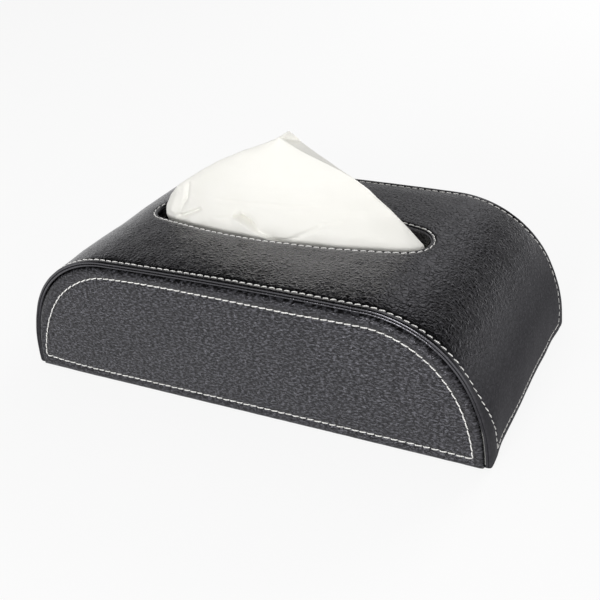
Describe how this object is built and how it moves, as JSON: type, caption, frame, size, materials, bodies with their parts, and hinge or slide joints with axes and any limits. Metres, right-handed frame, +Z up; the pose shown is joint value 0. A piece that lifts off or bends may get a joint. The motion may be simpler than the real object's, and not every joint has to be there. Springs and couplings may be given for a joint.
{
  "type": "tissue box cover",
  "caption": "Arched tissue box cover in stitched black leatherette with an oval opening, padded end panels, a hinged base flap and a pulled tissue.",
  "frame": {"origin": "middle of the base on the surface that the cover stands on", "axes": "+X along the length to the right of the front panel, front panel faces -Y, +Z up"},
  "size_m": [0.251, 0.1266, 0.1204],
  "materials": {
    "wrap_leatherette": "pebbled, low sheen",
    "panel_leatherette": "fine grain, low sheen",
    "foam": "open cell",
    "fibreboard": "matte pressed fibre",
    "lining_cloth": "woven, matte",
    "tape_cloth": "ribbed tape",
    "thread": "twisted polyester",
    "loop_pile": "brushed loops",
    "hook_strip": "moulded hooks",
    "tissue": "soft matte"
  },
  "bodies": {
    "cover": {"wrap_skin": "wrap_leatherette", "wrap_foam": "foam", "wrap_board": "fibreboard", "wrap_lining": "lining_cloth", "rim_facing": "wrap_leatherette", "rim_thread": "thread", "front_panel_skin": "panel_leatherette", "front_panel_foam": "foam", "front_panel_board": "fibreboard", "front_panel_lining": "lining_cloth", "front_panel_thread": "thread", "front_edge_thread": "thread", "front_corner_tape": "tape_cloth", "rear_panel_skin": "panel_leatherette", "rear_panel_foam": "foam", "rear_panel_board": "fibreboard", "rear_panel_lining": "lining_cloth", "rear_panel_thread": "thread", "rear_edge_thread": "thread", "rear_corner_tape": "tape_cloth", "right_end_ledge": "fibreboard", "right_loop_pad": "loop_pile", "right_hem_thread": "thread", "left_end_ledge": "fibreboard", "left_loop_pad": "loop_pile", "left_hem_thread": "thread", "hinge_wall_leaf": "tape_cloth", "hinge_fold": "tape_cloth", "tissue_pack": "tissue"},
    "base_flap": {"flap_skin": "panel_leatherette", "flap_board": "fibreboard", "flap_lining": "lining_cloth", "flap_thread": "thread", "hinge_flap_leaf": "tape_cloth", "flap_pull_tab": "tape_cloth", "right_hook_pad": "hook_strip", "left_hook_pad": "hook_strip"},
    "pulled_sheet": {"pulled_tissue": "tissue"}
  },
  "joints": [
    {"name": "flap_hinge", "type": "hinge", "parent": "cover", "child": "base_flap", "pos_m": [0, 0.0556, 0.0012], "axis": [1, 0, 0], "range_deg": [0, 95]},
    {"name": "tissue_pull", "type": "slide", "parent": "cover", "child": "pulled_sheet", "axis": [0, 0, 1], "range_m": [0, 0.05]}
  ]
}
